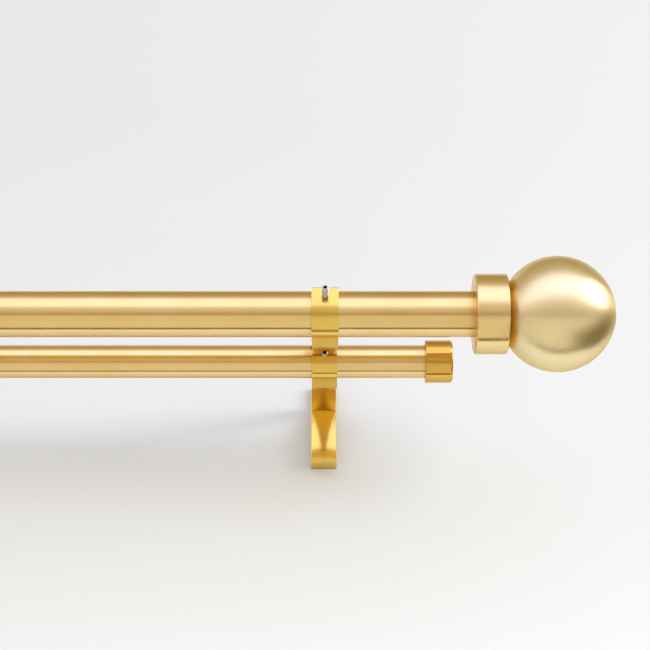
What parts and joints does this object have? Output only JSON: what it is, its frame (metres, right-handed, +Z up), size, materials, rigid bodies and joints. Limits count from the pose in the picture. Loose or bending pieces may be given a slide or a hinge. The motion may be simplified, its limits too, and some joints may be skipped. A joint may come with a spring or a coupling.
{
  "type": "double curtain pole",
  "caption": "Double curtain pole: a large front pole with ball finials and a small rear pole with plain caps, lying in brass cradles on projecting wall brackets.",
  "frame": {"origin": "in the wall plane, mid-way between the screw holes of the brackets", "axes": "+X along the poles to the right as seen from the room, +Y into the wall, +Z up"},
  "size_m": [1.3194, 0.18, 0.064],
  "materials": {
    "satin_brass": "satin brushed brass",
    "polished_brass": "polished brass",
    "plain_brass": "as turned, hidden in the tube",
    "steel": "bright zinc plated"
  },
  "bodies": {
    "root": {"front_pole": "satin_brass", "rear_pole": "satin_brass", "left_collar": "satin_brass", "left_ball": "satin_brass", "left_finial_stud": "steel", "left_pole_plug": "plain_brass", "left_end_cap": "polished_brass", "left_front_cradle": "polished_brass", "left_rear_cradle": "polished_brass", "left_front_grub_screw": "steel", "left_rear_grub_screw": "steel", "left_front_arm": "polished_brass", "left_rear_arm": "polished_brass", "left_wall_plate": "polished_brass", "left_wall_block": "polished_brass", "left_lock_screw": "steel", "right_collar": "satin_brass", "right_ball": "satin_brass", "right_finial_stud": "steel", "right_pole_plug": "plain_brass", "right_end_cap": "polished_brass", "right_front_cradle": "polished_brass", "right_rear_cradle": "polished_brass", "right_front_grub_screw": "steel", "right_rear_grub_screw": "steel", "right_front_arm": "polished_brass", "right_rear_arm": "polished_brass", "right_wall_plate": "polished_brass", "right_wall_block": "polished_brass", "right_lock_screw": "steel"}
  },
  "joints": []
}
